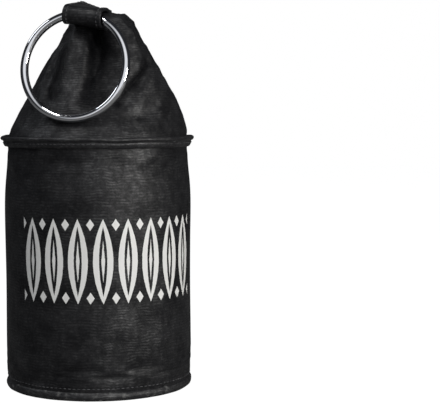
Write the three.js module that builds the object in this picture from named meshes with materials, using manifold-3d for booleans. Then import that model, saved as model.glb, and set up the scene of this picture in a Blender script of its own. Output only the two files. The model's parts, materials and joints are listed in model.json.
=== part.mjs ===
// A weighted door stop: a round filled bag of black twill with a gathered crown and a pull ring.
// Millimetres, +Z up. The origin is the middle of the base, and the front faces -Y.
import * as THREE from 'three';
import { mergeVertices } from 'three/addons/utils/BufferGeometryUtils.js';
import Module from 'manifold-3d';

const wasm = await Module();
wasm.setup();

// Pieces that touch are kept this far apart.
const SEAM_GAP = 0.3;

// The bag's wall.
const SLEEVE_RADIUS = 58.9;
const SLEEVE_NECK_RADIUS = 57.0;
const SLEEVE_NECK_RUN = 30;
const SEAM_TUCK = 1.2;
const LAP_SEAM_WIDTH = 11;
const LAP_SEAM_PROUD = 0.9;
const PUCKER_DEPTH = 0.7;
const PUCKER_COUNT = 11;
const PUCKER_RUN = 16;

// The base panel and the welt round it.
const BASE_PANEL_THICKNESS = 1.6;
const BASE_WELT_HEIGHT = 5.5;
const BASE_WELT_THICKNESS = 1.45;

// The welt that joins the sleeve and the crown.
const RIM_WELT_FOOT = 152.7;
const RIM_WELT_HEIGHT = 6.9;
const RIM_WELT_THICKNESS = 4.2;
const RIM_WELT_FLARE = 1.7;
const RIM_LIP_HEIGHT = 2.6;
const RIM_GROOVE_DEPTH = 0.7;

// The crown, from its tucked foot to its crest.
const CROWN_TUCK = 3.0;
const CROWN_HEIGHT = 80;
const CREST_HALF_LENGTH = 17;
const CREST_HALF_DEPTH = 10;
const CREST_FORWARD = 19;
const CREST_ASIDE = 14.6;
const CREST_TURN_DEG = -21;
const CREST_FALL = 0.29;
const CREST_DOME = 1.2;
const CREST_ROUND_RUN = 11;
const CREST_ROUND_SHARE = 0.5;
const CREST_END_ROUND_SHARE = 0.32;
const FOLD_LIMIT = 0.42;
const SIDE_SHOULDER = 0.65;
const FRONT_SHOULDER = -1.6;
const BACK_SHOULDER = 0.5;

// The pull ring.
const RING_INNER_DIAMETER = 60;
const WIRE_DIAMETER = 5;
const RING_REST_GAP = 0.35;

// The strap that holds the ring.
const STRAP_WIDTH = 25;
const STRAP_CLOTH = 1.4;
const STRAP_RUNNING_GAP = 0.3;
const STRAP_REACH = 19.2;
const STRAP_DROP = 9.5;
const STRAP_STAND = 3.1;
const STRAP_ASIDE = -8.2;
const STRAP_BURIED = 6;
const STRAP_LOWER_RISE_DEG = 5;
const STRAP_FALL_DEG = 7;

// How finely the round forms are faceted.
const ROUND_FACETS = 96;
const WELT_FACETS = 72;
const CROWN_ROWS = 26;
const SLEEVE_ROWS = 16;
const RING_FACETS = 60;
const WIRE_FACETS = 12;
const LOOP_FACETS = 28;

// What follows from those sizes.
const SLEEVE_TUCK_RADIUS = SLEEVE_RADIUS - SEAM_TUCK;
const SLEEVE_FOOT = BASE_PANEL_THICKNESS + SEAM_GAP;
const SLEEVE_TOP = RIM_WELT_FOOT + RIM_WELT_HEIGHT / 2 - SEAM_GAP;
const RIM_WELT_TOP = RIM_WELT_FOOT + RIM_WELT_HEIGHT;
const RIM_BORE_RADIUS = SLEEVE_NECK_RADIUS + SEAM_GAP;
const RIM_WELT_RADIUS = RIM_BORE_RADIUS + RIM_WELT_THICKNESS;
const CROWN_FOOT = SLEEVE_TOP + SEAM_GAP;
const CROWN_BASE = CROWN_FOOT + CROWN_TUCK;
const CROWN_RADIUS = RIM_BORE_RADIUS - SEAM_GAP;
const WIRE_RADIUS = WIRE_DIAMETER / 2;
const RING_RADIUS = (RING_INNER_DIAMETER + WIRE_DIAMETER) / 2;

const CLOTH = { color: 0x17171a, roughness: 0.92, metalness: 0 };
const CHROME = { color: 0xe8eaec, roughness: 0.08, metalness: 1 };

const mix = (from, to, share) => from + (to - from) * share;
const smooth = (share) => THREE.MathUtils.smoothstep(share, 0, 1);
const radians = THREE.MathUtils.degToRad;

// A closed body needs shared corners and no collapsed triangles, such as a lathe leaves at its poles.
function weld(geometry) {
  geometry.deleteAttribute('normal');
  geometry.deleteAttribute('uv');
  const welded = mergeVertices(geometry, 1e-3);
  const corners = welded.index.array;
  const kept = [];
  for (let i = 0; i < corners.length; i += 3) {
    const [a, b, c] = corners.slice(i, i + 3);
    if (a !== b && b !== c && c !== a) kept.push(a, b, c);
  }
  welded.setIndex(kept);
  return welded;
}

function toManifold(geometry) {
  const vertProperties = new Float32Array(geometry.attributes.position.array);
  const triVerts = new Uint32Array(geometry.index.array);
  return new wasm.Manifold(new wasm.Mesh({ numProp: 3, vertProperties, triVerts }));
}

function fromManifold(solid) {
  const cut = solid.getMesh();
  const geometry = new THREE.BufferGeometry();
  geometry.setAttribute('position', new THREE.BufferAttribute(cut.vertProperties, 3));
  geometry.setIndex(new THREE.BufferAttribute(cut.triVerts, 1));
  return geometry;
}

function named(name, geometry, finish) {
  geometry.computeVertexNormals();
  const mesh = new THREE.Mesh(geometry, new THREE.MeshStandardMaterial(finish));
  mesh.name = name;
  return mesh;
}

// Turns a profile of [radius, height] pairs about the upright axis.
function turned(profile, facets) {
  const points = profile.map(([radius, height]) => new THREE.Vector2(radius, height));
  const geometry = new THREE.LatheGeometry(points, facets);
  geometry.rotateX(Math.PI / 2);
  return weld(geometry);
}

function moveEachPoint(geometry, place) {
  const points = geometry.attributes.position;
  const point = new THREE.Vector3();
  for (let i = 0; i < points.count; i += 1) {
    point.fromBufferAttribute(points, i);
    place(point);
    points.setXYZ(i, point.x, point.y, point.z);
  }
  return geometry;
}

// The round disc that the bag stands on.
function basePanel() {
  const profile = [
    [0, 0],
    [SLEEVE_TUCK_RADIUS, 0],
    [SLEEVE_TUCK_RADIUS, BASE_PANEL_THICKNESS],
    [0, BASE_PANEL_THICKNESS],
  ];
  return named('base_panel', turned(profile, WELT_FACETS), CLOTH);
}

// The folded seam band round the foot, which holds the base panel and the sleeve together.
function baseWelt() {
  const inner = SLEEVE_TUCK_RADIUS + SEAM_GAP;
  const outer = inner + BASE_WELT_THICKNESS;
  const round = BASE_WELT_THICKNESS / 2;
  const profile = [
    [inner, 0],
    [outer - round, 0],
    [outer - round * 0.3, round * 0.3],
    [outer, round],
    [outer, BASE_WELT_HEIGHT - round],
    [outer - round * 0.3, BASE_WELT_HEIGHT - round * 0.3],
    [outer - round, BASE_WELT_HEIGHT],
    [inner, BASE_WELT_HEIGHT],
    [inner, 0],
  ];
  return named('base_welt', turned(profile, WELT_FACETS), CLOTH);
}

// The sleeve is full in its belly and is drawn in to its neck under the rim welt.
function sleeveRadius(height) {
  const share = (height - (RIM_WELT_FOOT - SLEEVE_NECK_RUN)) / SLEEVE_NECK_RUN;
  return mix(SLEEVE_RADIUS, SLEEVE_NECK_RADIUS, smooth(share));
}

// Small upright puckers where the seam gathers the wall, and the lapped closing seam at the back.
function sleeveRelief(bearing, height) {
  const below = (RIM_WELT_FOOT - height) / PUCKER_RUN;
  const wave = 0.6 * Math.sin(PUCKER_COUNT * bearing) + 0.4 * Math.sin((PUCKER_COUNT + 6) * bearing + 1);
  const pucker = below > 0 ? PUCKER_DEPTH * below * Math.exp(1 - 2 * below) * (wave - 1) : 0;
  const fromBack = Math.abs(bearing - Math.PI / 2) * SLEEVE_RADIUS;
  const open = height > BASE_WELT_HEIGHT + SEAM_GAP && height < RIM_WELT_FOOT - SEAM_GAP * 1.5;
  const lap = open && fromBack < LAP_SEAM_WIDTH / 2 ? LAP_SEAM_PROUD : 0;
  return pucker + lap;
}

function filledSleeve() {
  const bellyFoot = BASE_WELT_HEIGHT + SEAM_GAP;
  const profile = [[0, SLEEVE_FOOT], [SLEEVE_TUCK_RADIUS, SLEEVE_FOOT], [SLEEVE_TUCK_RADIUS, bellyFoot]];
  for (let row = 0; row <= SLEEVE_ROWS; row += 1) {
    const share = Math.pow(row / SLEEVE_ROWS, 0.6);
    const height = mix(bellyFoot + SEAM_GAP, RIM_WELT_FOOT - SEAM_GAP * 2, share);
    profile.push([sleeveRadius(height), height]);
  }
  profile.push([SLEEVE_NECK_RADIUS, RIM_WELT_FOOT - SEAM_GAP]);
  profile.push([SLEEVE_NECK_RADIUS, SLEEVE_TOP], [0, SLEEVE_TOP]);
  const geometry = turned(profile, ROUND_FACETS);
  moveEachPoint(geometry, (point) => {
    const radius = Math.hypot(point.x, point.y);
    if (radius < SLEEVE_NECK_RADIUS / 2 || point.z < bellyFoot + SEAM_GAP / 2) return;
    const grown = (radius + sleeveRelief(Math.atan2(point.y, point.x), point.z)) / radius;
    point.x *= grown;
    point.y *= grown;
  });
  return named('filled_sleeve', geometry, CLOTH);
}

// The standing seam band under the crown: a piped lip, a groove and a flat topstitched band.
function rimWelt() {
  const lipFoot = RIM_WELT_TOP - RIM_LIP_HEIGHT;
  const lipRound = RIM_LIP_HEIGHT / 2;
  const bandFoot = RIM_WELT_RADIUS - RIM_WELT_FLARE;
  const profile = [[RIM_BORE_RADIUS, RIM_WELT_FOOT], [bandFoot - RIM_GROOVE_DEPTH, RIM_WELT_FOOT]];
  profile.push([bandFoot, RIM_WELT_FOOT + RIM_GROOVE_DEPTH]);
  profile.push([RIM_WELT_RADIUS - RIM_GROOVE_DEPTH, lipFoot - RIM_GROOVE_DEPTH]);
  profile.push([RIM_WELT_RADIUS - lipRound, lipFoot]);
  for (let step = 0; step <= 3; step += 1) {
    const angle = radians(mix(-45, 90, step / 3));
    const radius = RIM_WELT_RADIUS - lipRound + lipRound * Math.cos(angle);
    profile.push([radius, lipFoot + lipRound + lipRound * Math.sin(angle)]);
  }
  profile.push([RIM_BORE_RADIUS, RIM_WELT_TOP - lipRound], [RIM_BORE_RADIUS, RIM_WELT_FOOT]);
  return named('rim_welt', turned(profile, WELT_FACETS), CLOTH);
}

// The crest runs aslant to the front, so the crown is drawn in a frame turned with it:
// "along" follows the crest, "across" points to the back.
const ALONG = new THREE.Vector3(1, 0, 0).applyAxisAngle(new THREE.Vector3(0, 0, 1), radians(CREST_TURN_DEG));
const ACROSS = new THREE.Vector3(0, 1, 0).applyAxisAngle(new THREE.Vector3(0, 0, 1), radians(CREST_TURN_DEG));

// How far a side of the cone has closed in at a share of the rise. A shoulder keeps it upright at first.
function closing(rise, shoulder) {
  return rise * (1 - shoulder * Math.pow(1 - rise, 3));
}

// The folds of the gathered cloth. Each follows a path of [rise, bearing in degrees], where bearing 270
// is the front, and goes from its own width and depth at the top to those at the foot.
const FOLDS = [
  { path: [[0.84, 257], [0.71, 275], [0.6, 278], [0.48, 275], [0.3, 273]], width: [15, 4.5], depth: [10.5, 2.8] },
  { path: [[0.72, 240], [0.58, 248], [0.39, 254], [0.22, 256]], width: [9, 8], depth: [-2.4, -1.1] },
  { path: [[0.74, 214], [0.6, 217], [0.5, 224], [0.39, 232], [0.28, 243]], width: [6, 4.5], depth: [5.0, 2.2] },
  { path: [[0.62, 340], [0.56, 334], [0.48, 321], [0.38, 309], [0.3, 300]], width: [4, 7], depth: [5.4, 2.0] },
  { path: [[0.66, 352], [0.5, 338], [0.4, 328], [0.26, 316]], width: [8, 10], depth: [-1.6, -0.8] },
  { path: [[0.92, 302], [0.8, 306], [0.68, 308]], width: [9, 6], depth: [3.0, 1.4] },
  { path: [[0.95, 345], [0.7, 349], [0.5, 350]], width: [9, 7], depth: [2.6, 0.8] },
  { path: [[0.95, 22], [0.6, 19], [0.3, 18], [0.1, 18]], width: [10, 7], depth: [4.2, 1.4] },
  { path: [[0.95, 60], [0.6, 55], [0.35, 51], [0.15, 49]], width: [13, 7], depth: [5.4, 1.6] },
  { path: [[0.95, 96], [0.6, 96], [0.4, 95], [0.25, 94]], width: [14, 7], depth: [6.2, 2.0] },
  { path: [[0.95, 130], [0.6, 135], [0.35, 138], [0.15, 138]], width: [12, 7], depth: [5.2, 1.5] },
  { path: [[0.95, 168], [0.6, 173], [0.3, 176], [0.1, 176]], width: [9, 8], depth: [4.0, 1.3] },
  { path: [[0.5, 152], [0.35, 157], [0.18, 158]], width: [7, 8], depth: [-1.6, -0.9] },
  { path: [[0.5, 115], [0.35, 117], [0.18, 116]], width: [7, 8], depth: [-1.6, -0.9] },
  { path: [[0.5, 76], [0.35, 72], [0.18, 71]], width: [7, 8], depth: [-1.6, -0.9] },
  { path: [[0.5, 37], [0.35, 35], [0.18, 34]], width: [7, 8], depth: [-1.6, -0.9] },
];

// Reads a fold's path at a rise. Beyond its ends the fold runs out.
function foldAt(fold, rise) {
  const { path, width, depth } = fold;
  const top = path[0][0];
  const foot = path[path.length - 1][0];
  const share = (top - rise) / (top - foot);
  const inside = THREE.MathUtils.clamp(share, 0, 1);
  let step = 0;
  while (step < path.length - 2 && rise < path[step + 1][0]) step += 1;
  const [riseA, bearingA] = path[step];
  const [riseB, bearingB] = path[step + 1];
  const part = THREE.MathUtils.clamp((riseA - rise) / (riseA - riseB), 0, 1);
  const fade = smooth(1 - Math.max(share - 1, 0) * 4) * smooth(1 + Math.min(share, 0) * 6);
  return {
    bearing: mix(bearingA, bearingB, part),
    width: mix(width[0], width[1], inside),
    depth: mix(depth[0], depth[1], inside) * fade,
  };
}

// How deep the cloth lies under the plain cone, and how far it swells between its folds.
function foldDepth(bearingDeg, rise) {
  let depth = 0;
  for (const fold of FOLDS) {
    const { bearing, width, depth: deep } = foldAt(fold, rise);
    const off = THREE.MathUtils.euclideanModulo(bearingDeg - bearing + 180, 360) - 180;
    depth += deep * Math.exp(-Math.pow(off / width, 2));
  }
  return depth;
}

// How far the crown stands out in front of the bag's middle.
function frontReach(rise) {
  return mix(CROWN_RADIUS, CREST_FORWARD + CREST_HALF_DEPTH, closing(rise, FRONT_SHOULDER));
}

// The crest is rounded over: near its top the section loses up to a share of its size.
function crestRound(rise, share) {
  const near = THREE.MathUtils.clamp(1 - (1 - rise) * CROWN_HEIGHT / CREST_ROUND_RUN, 0, 1);
  return 1 - share * (1 - Math.sqrt(1 - near * near));
}

// A point of the crown's surface. Bearing 0 is the crest's right end, and 270 degrees is the front.
function crownPoint(bearing, rise, inward = 0) {
  const half = mix(CROWN_RADIUS, CREST_HALF_LENGTH, closing(rise, SIDE_SHOULDER));
  const front = frontReach(rise);
  const back = mix(CROWN_RADIUS, CREST_HALF_DEPTH - CREST_FORWARD, closing(rise, BACK_SHOULDER));
  const depth = (front + back) / 2 * crestRound(rise, CREST_ROUND_SHARE);
  const along = half * crestRound(rise, CREST_END_ROUND_SHARE) * Math.cos(bearing) * (1 - inward);
  const across = depth * Math.sin(bearing) * (1 - inward);
  const relief = inward > 0 ? 0 : foldDepth(THREE.MathUtils.radToDeg(bearing), rise) * smooth(rise * 8);
  const reach = Math.hypot(along, across);
  const kept = reach > 0 ? 1 - Math.min(relief, reach * FOLD_LIMIT) / reach : 1;
  const height = CROWN_BASE + CROWN_HEIGHT * rise - CREST_FALL * along * rise * rise;
  const point = new THREE.Vector3(0, 0, height + CREST_DOME * Math.sqrt(inward));
  point.addScaledVector(ALONG, CREST_ASIDE * rise + along * kept);
  point.addScaledVector(ACROSS, (back - front) / 2 + across * kept);
  return point;
}

// The plain cone is turned first, with its tucked foot, and then each point is put on the folded surface.
function crownSolid() {
  const profile = [[0, -CROWN_TUCK], [CROWN_RADIUS, -CROWN_TUCK]];
  for (let row = 0; row <= CROWN_ROWS; row += 1) {
    profile.push([CROWN_RADIUS, CROWN_HEIGHT * (row / CROWN_ROWS)]);
  }
  profile.push([CROWN_RADIUS / 2, CROWN_HEIGHT], [0, CROWN_HEIGHT]);
  const geometry = turned(profile, ROUND_FACETS);
  return moveEachPoint(geometry, (point) => {
    if (point.z < 0) {
      point.z += CROWN_BASE;
      return;
    }
    const inward = 1 - Math.hypot(point.x, point.y) / CROWN_RADIUS;
    const bearing = Math.atan2(point.y, point.x) - radians(CREST_TURN_DEG);
    point.copy(crownPoint(bearing, point.z / CROWN_HEIGHT, inward < 1e-6 ? 0 : inward));
  });
}

// The ring's wire is curved, so inside the straight strap loop its middle bows by this much, and at
// the loop's mouths it runs aslant, which makes its section longer.
const MOUTH_LEVEL = Math.sqrt(RING_RADIUS ** 2 - (STRAP_WIDTH / 2) ** 2);
const WIRE_BOW = RING_RADIUS - MOUTH_LEVEL;
const WIRE_AT_MOUTH = WIRE_RADIUS * RING_RADIUS / MOUTH_LEVEL;
const LOOP_RADIUS = WIRE_AT_MOUTH + WIRE_BOW / 2 + STRAP_RUNNING_GAP;

// The strap's own frame: "loopAxis" runs through the loop, "tailBack" goes level to the back, and
// "loopUp" is square to both.
const loopAxis = ALONG.clone().applyAxisAngle(ACROSS, radians(STRAP_FALL_DEG));
const tailBack = ACROSS.clone();
const loopUp = new THREE.Vector3().crossVectors(loopAxis, tailBack);
const loopCentre = new THREE.Vector3(0, 0, CROWN_BASE + CROWN_HEIGHT + STRAP_STAND - STRAP_DROP)
  .addScaledVector(ALONG, CREST_ASIDE + STRAP_ASIDE)
  .addScaledVector(ACROSS, -CREST_FORWARD - STRAP_REACH);
const strapFrame = new THREE.Matrix4().makeBasis(tailBack, loopUp, loopAxis).setPosition(loopCentre);

// The upper tail leaves the loop so that its outside meets the crest's top.
const LOOP_OUTSIDE = LOOP_RADIUS + STRAP_CLOTH;
const UPPER_RISE = Math.atan2(STRAP_DROP, STRAP_REACH)
  - Math.asin(LOOP_OUTSIDE / Math.hypot(STRAP_DROP, STRAP_REACH));
const UPPER_LENGTH = (STRAP_REACH + LOOP_OUTSIDE * Math.sin(UPPER_RISE)) / Math.cos(UPPER_RISE);

// The lower tail runs back into the crown's front at the loop's own height.
const LOWER_RISE = radians(STRAP_LOWER_RISE_DEG);
const LOOP_SHARE = (loopCentre.z - CROWN_BASE) / CROWN_HEIGHT;
const LOWER_LENGTH = CREST_FORWARD + STRAP_REACH - frontReach(LOOP_SHARE) + STRAP_BURIED;

// The strip's outline, seen along the loop: upper tail, round the front of the wire, lower tail.
function stripOutline(grow) {
  const outer = LOOP_OUTSIDE + grow;
  const inner = LOOP_RADIUS - grow;
  const tail = (radius, angle, length, side) => [
    length * Math.cos(angle) - side * radius * Math.sin(angle),
    length * Math.sin(angle) + side * radius * Math.cos(angle),
  ];
  const first = Math.PI / 2 + UPPER_RISE;
  const last = 3 * Math.PI / 2 + LOWER_RISE;
  const shape = new THREE.Shape();
  shape.moveTo(...tail(outer, UPPER_RISE, UPPER_LENGTH + grow, 1));
  for (let step = 0; step <= LOOP_FACETS; step += 1) {
    const angle = mix(first, last, step / LOOP_FACETS);
    shape.lineTo(outer * Math.cos(angle), outer * Math.sin(angle));
  }
  shape.lineTo(...tail(outer, LOWER_RISE, LOWER_LENGTH + grow, -1));
  shape.lineTo(...tail(inner, LOWER_RISE, LOWER_LENGTH + grow, -1));
  for (let step = 0; step <= LOOP_FACETS; step += 1) {
    const angle = mix(last, first, step / LOOP_FACETS);
    shape.lineTo(inner * Math.cos(angle), inner * Math.sin(angle));
  }
  shape.lineTo(...tail(inner, UPPER_RISE, UPPER_LENGTH + grow, 1));
  shape.closePath();
  return shape;
}

function extrudedAcross(shape, width) {
  const geometry = new THREE.ExtrudeGeometry(shape, { depth: width, bevelEnabled: false, steps: 1 });
  geometry.translate(0, 0, -width / 2);
  geometry.applyMatrix4(strapFrame);
  return weld(geometry);
}

// A strip folded round the ring's wire. One tail lies on the crest, the other is caught in the crown's front.
function ringStrap() {
  return named('ring_strap', extrudedAcross(stripOutline(0), STRAP_WIDTH), CLOTH);
}

// What the crown gives up for the strap: its own room, and all that would stand above its upper tail.
function strapRoom() {
  const width = STRAP_WIDTH + 2 * SEAM_GAP;
  const away = CREST_HALF_LENGTH;
  const above = new THREE.Shape();
  const along = (length, out) => [
    length * Math.cos(UPPER_RISE) - out * Math.sin(UPPER_RISE),
    length * Math.sin(UPPER_RISE) + out * Math.cos(UPPER_RISE),
  ];
  above.moveTo(...along(-away, LOOP_RADIUS));
  above.lineTo(...along(UPPER_LENGTH + SEAM_GAP, LOOP_RADIUS));
  above.lineTo(...along(UPPER_LENGTH + SEAM_GAP, LOOP_RADIUS + away));
  above.lineTo(...along(-away, LOOP_RADIUS + away));
  above.closePath();
  const strip = toManifold(extrudedAcross(stripOutline(SEAM_GAP), width));
  return strip.add(toManifold(extrudedAcross(above, width)));
}

function crown() {
  const cut = toManifold(crownSolid()).subtract(strapRoom());
  return named('crown', fromManifold(cut), CLOTH);
}

// Points on a mesh's corners, edges and faces, to measure a distance from.
function surfacePoints(mesh) {
  const { position } = mesh.geometry.attributes;
  const corners = mesh.geometry.index.array;
  const points = [];
  for (let i = 0; i < corners.length; i += 3) {
    const [a, b, c] = [0, 1, 2].map((k) => new THREE.Vector3().fromBufferAttribute(position, corners[i + k]));
    points.push(a, a.clone().lerp(b, 0.5), b.clone().lerp(c, 0.5), c.clone().lerp(a, 0.5));
    points.push(a.clone().add(b).add(c).divideScalar(3));
  }
  return points;
}

// The ring's frame when it hangs at an angle to the front of straight down.
function ringFrame(lean) {
  const down = loopUp.clone().negate().applyAxisAngle(loopAxis, -lean);
  const facing = new THREE.Vector3().crossVectors(loopAxis, down);
  const centre = loopCentre.clone().addScaledVector(down, RING_RADIUS - WIRE_BOW / 2);
  return new THREE.Matrix4().makeBasis(loopAxis, down, facing).setPosition(centre);
}

// The clear space between the wire and a set of points.
function wireClearance(lean, points) {
  const intoRing = ringFrame(lean).invert();
  const local = new THREE.Vector3();
  let least = Infinity;
  for (const point of points) {
    local.copy(point).applyMatrix4(intoRing);
    const fromWire = Math.hypot(Math.hypot(local.x, local.y) - RING_RADIUS, local.z);
    least = Math.min(least, fromWire - WIRE_RADIUS);
  }
  return least;
}

// The ring comes down from level until its wire meets the bag, and rests there.
function restingLean(meshes) {
  const points = meshes.flatMap(surfacePoints);
  let free = Math.PI / 2;
  let stopped = -Math.PI / 6;
  for (let step = 0; step < 24; step += 1) {
    const lean = (free + stopped) / 2;
    if (wireClearance(lean, points) > RING_REST_GAP) free = lean;
    else stopped = lean;
  }
  return free;
}

function pullRing(bagMeshes) {
  const geometry = new THREE.TorusGeometry(RING_RADIUS, WIRE_RADIUS, WIRE_FACETS, RING_FACETS);
  geometry.applyMatrix4(ringFrame(restingLean(bagMeshes)));
  return named('pull_ring', weld(geometry), CHROME);
}

const doorStop = new THREE.Group();
const crownMesh = crown();
const rimMesh = rimWelt();
doorStop.add(basePanel(), baseWelt(), filledSleeve(), rimMesh, crownMesh, ringStrap());
doorStop.add(pullRing([crownMesh, rimMesh]));

export default doorStop;
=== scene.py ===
import json
import math

import bmesh
import bpy
import numpy as np
from mathutils import Matrix, Vector
from mathutils.bvhtree import BVHTree
from mathutils.noise import noise as smooth_noise


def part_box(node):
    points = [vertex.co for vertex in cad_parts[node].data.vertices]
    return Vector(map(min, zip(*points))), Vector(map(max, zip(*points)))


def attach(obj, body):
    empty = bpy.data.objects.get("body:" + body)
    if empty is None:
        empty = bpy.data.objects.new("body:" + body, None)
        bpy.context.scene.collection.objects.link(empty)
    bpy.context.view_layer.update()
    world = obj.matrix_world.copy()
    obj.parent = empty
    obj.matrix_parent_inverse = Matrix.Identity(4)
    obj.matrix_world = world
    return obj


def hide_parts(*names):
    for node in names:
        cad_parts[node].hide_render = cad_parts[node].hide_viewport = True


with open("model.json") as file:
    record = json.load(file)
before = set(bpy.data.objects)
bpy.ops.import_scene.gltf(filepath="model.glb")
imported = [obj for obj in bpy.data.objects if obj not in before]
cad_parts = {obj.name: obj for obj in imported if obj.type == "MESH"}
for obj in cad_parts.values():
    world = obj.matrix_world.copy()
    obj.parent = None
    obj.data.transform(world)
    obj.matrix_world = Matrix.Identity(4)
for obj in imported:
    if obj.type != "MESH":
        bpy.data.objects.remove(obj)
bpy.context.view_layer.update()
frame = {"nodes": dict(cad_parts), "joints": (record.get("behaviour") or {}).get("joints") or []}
scene = bpy.context.scene

# The camera stands a good way in front of the door stop, a little above its middle, and is turned to
# the right, so that the bag stands in the left half of the picture as it does in the photograph.
CAMERA_PLACE = (0.0, -0.855, 0.180)
CAMERA_TURN_RIGHT = math.radians(5.24)
CAMERA_TIP_DOWN = math.radians(4.24)
SENSOR_WIDTH_MM = 36
LENS_MM = 108.8

camera_data = bpy.data.cameras.new("camera")
camera_data.sensor_width = SENSOR_WIDTH_MM
camera_data.lens = LENS_MM
camera = bpy.data.objects.new("camera", camera_data)
camera.location = CAMERA_PLACE
camera.rotation_euler = (math.pi / 2 - CAMERA_TIP_DOWN, 0, -CAMERA_TURN_RIGHT)
scene.collection.objects.link(camera)
scene.camera = camera
scene.view_settings.view_transform = "Standard"

# A white studio: one broad soft light from the front right, a weak cool one from the left and one
# overhead. The room is dark but for a white wall behind the camera, which the chrome mirrors.
FLOOR_HALF = 3.0
FLOOR_BELOW = 0.0003
FLOOR_WHITE = (0.22, 0.22, 0.22, 1)
FLOOR_GLOW = 0.97
ROOM_DARK = (0.020, 0.021, 0.024, 1)
ROOM_WALL = (0.78, 0.79, 0.82, 1)
WALL_TOWARDS = Vector((0.02, -1.0, 0.24)).normalized()
WALL_EDGE_DEG = (51, 26)
LIGHT_AIM = Vector((0, 0, 0.13))
LIGHTS = (
    # name, place, size across, watts, colour
    ("light_right", (0.98, -1.00, 0.36), 0.34, 13.0, (1.0, 0.985, 0.955)),
    ("light_left", (-0.95, 0.18, 1.00), 0.40, 1.7, (0.90, 0.94, 1.0)),
    ("light_top", (-0.30, -0.45, 1.15), 0.26, 3.6, (1.0, 1.0, 1.0)),
)


def add_light(name, place, size, watts, colour):
    data = bpy.data.lights.new(name, "AREA")
    data.shape, data.size, data.energy, data.color = "SQUARE", size, watts, colour
    light = bpy.data.objects.new(name, data)
    light.location = place
    light.rotation_euler = (LIGHT_AIM - Vector(place)).to_track_quat("-Z", "Y").to_euler()
    scene.collection.objects.link(light)


def light_room():
    world = bpy.data.worlds.new("room")
    scene.world = world
    world.use_nodes = True
    nodes, links = world.node_tree.nodes, world.node_tree.links
    nodes.clear()
    where = nodes.new("ShaderNodeTexCoord")
    towards = nodes.new("ShaderNodeVectorMath")
    towards.operation = "DOT_PRODUCT"
    towards.inputs[1].default_value = WALL_TOWARDS
    wall = nodes.new("ShaderNodeMapRange")
    wall.interpolation_type = "SMOOTHSTEP"
    wall.inputs["From Min"].default_value = math.cos(math.radians(WALL_EDGE_DEG[0]))
    wall.inputs["From Max"].default_value = math.cos(math.radians(WALL_EDGE_DEG[1]))
    blend = nodes.new("ShaderNodeMix")
    blend.data_type = "RGBA"
    blend.inputs["A"].default_value, blend.inputs["B"].default_value = ROOM_DARK, ROOM_WALL
    ray = nodes.new("ShaderNodeLightPath")
    seen = nodes.new("ShaderNodeMix")
    seen.data_type = "RGBA"
    seen.inputs["B"].default_value = (1, 1, 1, 1)
    glow = nodes.new("ShaderNodeBackground")
    out = nodes.new("ShaderNodeOutputWorld")
    links.new(where.outputs["Generated"], towards.inputs[0])
    links.new(towards.outputs["Value"], wall.inputs["Value"])
    links.new(wall.outputs["Result"], blend.inputs["Factor"])
    links.new(blend.outputs["Result"], seen.inputs["A"])
    links.new(ray.outputs["Is Camera Ray"], seen.inputs["Factor"])
    links.new(seen.outputs["Result"], glow.inputs["Color"])
    links.new(glow.outputs["Background"], out.inputs["Surface"])


def lay_floor():
    mesh = bpy.data.meshes.new("floor")
    h, z = FLOOR_HALF, -FLOOR_BELOW
    mesh.from_pydata([(-h, -h, z), (h, -h, z), (h, h, z), (-h, h, z)], [], [(0, 1, 2, 3)])
    white = bpy.data.materials.new("floor_white")
    white.use_nodes = True
    nodes, links = white.node_tree.nodes, white.node_tree.links
    shader = nodes["Principled BSDF"]
    shader.inputs["Base Color"].default_value = FLOOR_WHITE
    shader.inputs["Roughness"].default_value = 0.9
    shader.inputs["Specular IOR Level"].default_value = 0.0
    shader.inputs["Emission Color"].default_value = (1, 1, 1, 1)
    ray, glow = nodes.new("ShaderNodeLightPath"), nodes.new("ShaderNodeMath")
    glow.operation = "MULTIPLY"
    glow.inputs[1].default_value = FLOOR_GLOW
    links.new(ray.outputs["Is Camera Ray"], glow.inputs[0])
    links.new(glow.outputs[0], shader.inputs["Emission Strength"])
    mesh.materials.append(white)
    floor = bpy.data.objects.new("floor", mesh)
    scene.collection.objects.link(floor)


for light_row in LIGHTS:
    add_light(*light_row)
light_room()
lay_floor()

# The base panel is a round disc of the black twill that the bag stands on. It is cut from flat cloth
# and caught all round in the base welt, so it is flat with a soft rounded edge.
THREAD_PITCH = 0.00062
CLOTH_BLACK = (0.0040, 0.0041, 0.0048, 1)
CLOTH_GREY = (0.0150, 0.0150, 0.0163, 1)
CLOTH_ROUGHNESS = 0.47
CLOTH_GLOSS = 0.40
CLOTH_SHEEN = 0.02
WEAVE_DEPTH = 0.00004
SLUB_DEPTH = 0.00010
RUMPLE_DEPTH = 0.00015
RIB_PITCH = 0.0018
RIB_WANDER = 0.0045
RIB_SHARE = 0.85
MOTTLE_SHARE = 0.75
GRAIN_SHARE = 0.45
PANEL_RINGS = 28
ROUND_STEPS = 192


def add_math(tree, operation, a, b=None):
    node = tree.nodes.new("ShaderNodeMath")
    node.operation = operation
    for socket, value in zip(node.inputs, (a, b)):
        if isinstance(value, (int, float)):
            socket.default_value = value
        elif value is not None:
            tree.links.new(value, socket)
    return node.outputs[0]


def add_ramp(tree, value, low, high):
    node = tree.nodes.new("ShaderNodeMapRange")
    node.interpolation_type = "SMOOTHSTEP"
    node.inputs["From Min"].default_value = low
    node.inputs["From Max"].default_value = high
    tree.links.new(value, node.inputs["Value"])
    return node.outputs["Result"]


def add_noise(tree, vector, scale, detail=3.0, stretch=(1, 1, 1)):
    mapping = tree.nodes.new("ShaderNodeMapping")
    mapping.inputs["Scale"].default_value = stretch
    node = tree.nodes.new("ShaderNodeTexNoise")
    node.inputs["Scale"].default_value = scale
    node.inputs["Detail"].default_value = detail
    tree.links.new(vector, mapping.inputs["Vector"])
    tree.links.new(mapping.outputs["Vector"], node.inputs["Vector"])
    return node.outputs["Fac"]


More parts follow.
